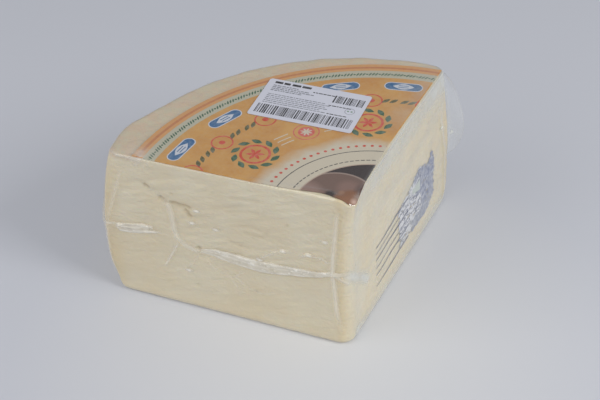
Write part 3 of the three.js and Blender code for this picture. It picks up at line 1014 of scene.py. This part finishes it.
def make_label():
    label = Sheet("printed_label", label_outline(), PAPER_LOW, PAPER_TOP, label_paper(), tip_drop)
    label.planes = [(FRONT_INWARD, LABEL_INSET - FRONT_OUT), (SIDE_INWARD, LABEL_INSET - SIDE_OUT)]
    draw_label_motifs(label)
    return hold(label.make(), "top_label")


# The price sticker

def sticker_paper():
    material, tree = new_material("price sticker paper")
    share = spread(tree, texture_noise(tree, 9, 2.0), 0.3, 0.7)
    color = paint(tree, (0.665, 0.67, 0.76), (share, (0.69, 0.695, 0.78)))
    end_opaque(tree, color, 0.4, 0.4, {"Normal": bump(tree, 0.02, 0.7)})
    return material


def make_sticker():
    low, high = (corner[2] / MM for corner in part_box("price_sticker"))
    edge = turned(rounded_rectangle(STICKER_SIZE, STICKER_CORNER), STICKER_TURN, STICKER_CENTRE)
    sticker = Sheet("price_label", edge, low, high, sticker_paper())
    black = ink_material("black print", (0.03, 0.03, 0.035), 0.1)
    grey = ink_material("grey print", (0.22, 0.23, 0.27), 0.2)
    green = ink_material("small green print", (0.10, 0.24, 0.12), 0.2)
    random = np.random.default_rng(7)

    def on_sticker(x, y):
        return turned([[x, y]], STICKER_TURN, STICKER_CENTRE)[0]

    def draw_bar(ink, x, y, length, width):
        sticker.draw(ink, bar(on_sticker(x, y), length, width, STICKER_TURN))

    def dashes(ink, left, right, y, width):
        x = left
        while x < right:
            length = random.uniform(1.0, 3.2)
            draw_bar(ink, x + length / 2, y, length, width)
            x += length + 0.5

    def upright_bars(left, right, y, height):
        x = left
        while x < right:
            width = random.choice([0.35, 0.35, 0.7, 1.05])
            draw_bar(black, x + width / 2, y, width, height)
            x += width + random.choice([0.35, 0.35, 0.5, 0.9])

    # A heading of four thick bars, lines of dashes, two rows of upright bars, and a small ring
    for x, length in ((-29.2, 5.6), (-23.2, 4.4), (-16.4, 6.2), (-9.0, 6.6)):
        draw_bar(black, x, 18.5, length, 2.4)
    for y, right in ((14.8, -14), (12.9, -6), (11.0, -2), (9.1, -12)):
        dashes(grey, -32, right, y, 1.1)
    dashes(black, -3, 13, 14.6, 1.0)
    for y, right in ((4.4, 8), (2.4, 12), (0.4, 9), (-1.6, 10), (-3.6, 7), (-5.6, 12)):
        dashes(grey, -32, right, y, 0.85)
    dashes(black, 12, 25, 3.6, 0.9)
    dashes(black, 14, 27, -5.8, 0.9)
    upright_bars(13, 34, 11.6, 8.4)
    upright_bars(-33.5, 33.5, -13.2, 10.4)
    sticker.draw(grey, ring(on_sticker(28, 0.8), 3.3, 0.35, step=15))
    for x in (26.8, 29.3):
        draw_bar(green, x, 0.8, 1.3, 1.1)
    return hold(sticker.make(), "price_sticker")


# The film's print on the side cut face, and the film's spare corner

# The print's upper and lower edge, as height against the distance from the front corner
PRINT_TOP = [(70, 50), (79, 51), (92, 55), (100, 57), (110, 61), (115, 63), (134, 56), (139.4, 63), (144, 48)]
PRINT_BASE = [(70, 16), (106, 17.4), (129, 17), (138.5, 20.8), (144.2, 26)]


def side_face_points(along, height, out):
    """Points on the side cut face, from their distance along it, height, and how far out."""
    girth = -along
    out_from_axis = SIDE_OUT + FOOT_SIDE * (1 - height / PACK_HEIGHT) ** 2
    flat = SIDE_ALONG * along[:, None] - SIDE_INWARD * out_from_axis[:, None]
    points = np.concatenate([flat, height[:, None]], axis=1)
    stand, _ = film_features(points, girth)
    return points + np.array([*-SIDE_INWARD, 0.0]) * (common_relief(points, girth) + stand + out)[:, None]


def make_side_print():
    blue = ink_material("blue film print", (0.20, 0.23, 0.36), 0.4)
    pale = ink_material("pale film print", (0.80, 0.80, 0.83), 0.15)
    mint = ink_material("mint film print", (0.60, 0.66, 0.60), 0.1)
    navy = ink_material("navy film print", (0.07, 0.08, 0.16), 0.25)
    random = np.random.default_rng(12)
    places, faces, inks = [], [], []

    def strip(ink, layer, start, end, width, steps):
        """A strip between two (along, height) places, with a width at each."""
        first = len(places)
        for side in (-0.5, 0.5):
            for share in np.linspace(0, 1, steps + 1):
                along, height, breadth = (
                    a + share * (b - a) for a, b in zip((*start, width[0]), (*end, width[1])))
                places.append((along, height + side * breadth, -0.12 + 0.02 * layer))
        faces.extend((i, i + 1, i + steps + 2, i + steps + 1) for i in range(first, first + steps))
        inks.extend([ink] * steps)

    def scatter(count, ink, layer, span, levels, length, width, lean=0.8):
        for _ in range(count):
            along, height = random.uniform(*span), random.uniform(*levels)
            if table(PRINT_BASE, along) < height < table(PRINT_TOP, along):
                end = along + random.uniform(*length), height + random.uniform(-lean, lean)
                strip(ink, layer + 0.8 * random.random(), (along, height), end,
                      (random.uniform(*width), random.uniform(*width)), 2)

    # A dense field of short strokes at the far end, looser ones, and six long lines that run out
    for count, span, levels in (
            (620, (120, 142), (16, 63)), (130, (109, 121), (42, 63)), (80, (104, 121), (16, 26))):
        scatter(count, 0, 1, span, levels, (2, 5), (1.0, 2.0))
    scatter(420, 1, 0, (80, 121), (20, 63), (3, 7), (1.6, 2.6))
    scatter(60, 1, 2, (100, 142), (16, 63), (2, 5), (0.3, 0.6), 1.5)
    scatter(45, 0, 1, (78, 118), (16, 63), (3, 7), (0.4, 0.8))
    scatter(300, 3, 2, (80, 120), (18, 63), (0.8, 3), (0.4, 0.9), 1.4)
    for height, breadth in ((50, 1.8), (44.5, 0.7), (39, 1.8), (32.5, 0.7), (26.5, 1.6), (16.5, 1.6)):
        strip(3, 2, (41.5, height), (98, height + 2), (0.6, breadth), 16)
    strip(2, 3, (106, 51), (119, 49), (4.0, 9.0), 6)

    points = side_face_points(*np.array(places).T)
    made = piece("film_print", points, faces, [blue, pale, mint, navy])
    made.data.polygons.foreach_set("material_index", inks)
    return hold(made, None)


def make_ear():
    """The film's spare corner: two sheets of film pressed together, wavy and folded."""
    up, out = np.meshgrid(np.linspace(0, 1, 91), np.linspace(0, 1, 27), indexing="ij")
    height = EAR_LOW + up * (EAR_HIGH - EAR_LOW)
    level = height[:, 0]
    away = (SIDE_ALONG - SIDE_INWARD) / np.linalg.norm(SIDE_ALONG - SIDE_INWARD)
    across = np.array([-away[1], away[0], 0.0])
    root = far_centre(level) + (upright_radius(level, FAR_RADII) + EAR_GAP)[:, None] * away
    reach = EAR_RIM + EAR_REACH * np.sin(pi * np.clip(up, 0.001, 0.999) ** EAR_SAG) ** EAR_POWER
    flat = root[:, None] + (reach * out)[..., None] * away
    points = np.concatenate([flat, height[..., None]], axis=-1)
    points = points + (EAR_WAVE * out * np.sin(9 * up + 2 * out))[..., None] * across
    fold = noise(points, (9, 9, 14), seed=31) * (0.3 + 0.7 * out)
    points = points + across * (0.7 * fold)[..., None]
    # A painted glint on the corner's film
    glint = 2.6 * bell(up - 0.25, 0.018) * bell(out - 0.27, 0.08)
    rim_and_root = 0.5 * ease(0.94, 1.0, out) + 0.25 * ease(0.35, 0, out)
    white = 0.16 + 0.3 * ease(0.3, 0.8, np.abs(fold)) + rim_and_root + glint
    thick = 0.12 * across
    rows = np.concatenate([points - thick, (points + thick)[:, ::-1]], axis=1)
    attributes = {"haze_and_highlights": np.concatenate([white, white[:, ::-1]], axis=1), "cool": np.ones(rows.shape[:2])}
    ear = closed_piece("folded_film_corner", rows, [film_material("folded film", 0.6)], attributes)
    return hold(ear, "film_ear")


# The studio

# The floor: the middle of its painted pool of light, how far out that fades, its colours in and
# out of the pool, and a glow of painted light that lightens its shadows
LIGHT_POOL_PLACE = (0.06, -0.09, 0.0)
LIGHT_POOL_REACH = 0.21
FLOOR_NEAR = (0.635, 0.635, 0.637)
FLOOR_FAR = (0.508, 0.519, 0.571)
FLOOR_PAINTED_GLOW, FLOOR_PAINTED_GLOW_STRENGTH = (0.92, 0.94, 1.0), 0.115

# The light from all round, and the softboxes: name, place in metres, width, watts and colour
SKY_COLOR, SKY_STRENGTH = (0.93, 0.96, 1.0), 0.40
SOFTBOXES = [
    ("right softbox", (1.23, -0.30, 0.95), 0.6, 10.6, (0.985, 0.985, 0.965)),
    ("left softbox", (-0.85, -0.98, 0.85), 1.3, 7.2, (1.0, 0.99, 0.99)),
]
LIGHT_AIM = (0, 0, 0.06)


def make_floor():
    """A pale floor with a painted pool of light, that glows a little as painted light."""
    material, tree = new_material("studio floor")
    # A painted pool of light: brighter near the pack, darker further out
    distance = distance_from(tree, object_place(tree), LIGHT_POOL_PLACE)
    color = paint(tree, FLOOR_NEAR, (spread(tree, distance, 0, LIGHT_POOL_REACH), FLOOR_FAR))
    # The floor's glow is painted light from no lamp
    end_opaque(tree, color, 0.7, 0.2, {
        "Emission Color": rgba(FLOOR_PAINTED_GLOW), "Emission Strength": FLOOR_PAINTED_GLOW_STRENGTH})
    bpy.ops.mesh.primitive_plane_add(size=6, location=(0, 0, -0.0003))
    floor = bpy.context.object
    floor.name = "studio_floor"
    floor.data.materials.append(material)


def light_scene():
    """Light from all round, and soft square lights turned towards the pack."""
    world = bpy.data.worlds.new("studio")
    world.use_nodes = True
    background = world.node_tree.nodes["Background"]
    background.inputs["Color"].default_value = rgba(SKY_COLOR)
    background.inputs["Strength"].default_value = SKY_STRENGTH
    bpy.context.scene.world = world
    for name, place, size, watts, color in SOFTBOXES:
        data = bpy.data.lights.new(name, "AREA")
        data.size, data.energy, data.color = size, watts, color
        light = placed(name, data)
        light.location = place
        light.rotation_euler = (Vector(LIGHT_AIM) - light.location).to_track_quat("-Z", "Y").to_euler()
    bpy.context.scene.view_settings.view_transform = "Standard"


def make_camera():
    turn = (Matrix.Rotation(CAMERA_AZIMUTH, 3, "Z") @ Matrix.Rotation(pi / 2 - CAMERA_ELEVATION, 3, "X")
            @ Matrix.Rotation(CAMERA_ROLL, 3, "Z"))
    data = bpy.data.cameras.new("camera")
    data.lens, data.sensor_width = CAMERA_LENS, 36.0
    camera = placed("camera", data)
    place = Vector(in_frame(CAMERA_TARGET)) + turn.col[2] * CAMERA_DISTANCE * MM
    camera.matrix_world = Matrix.Translation(place) @ turn.to_4x4()
    bpy.context.scene.camera = camera


make_camera()
light_scene()
make_floor()
make_cheese()
make_film()
make_label()
make_sticker()
make_side_print()
make_ear()
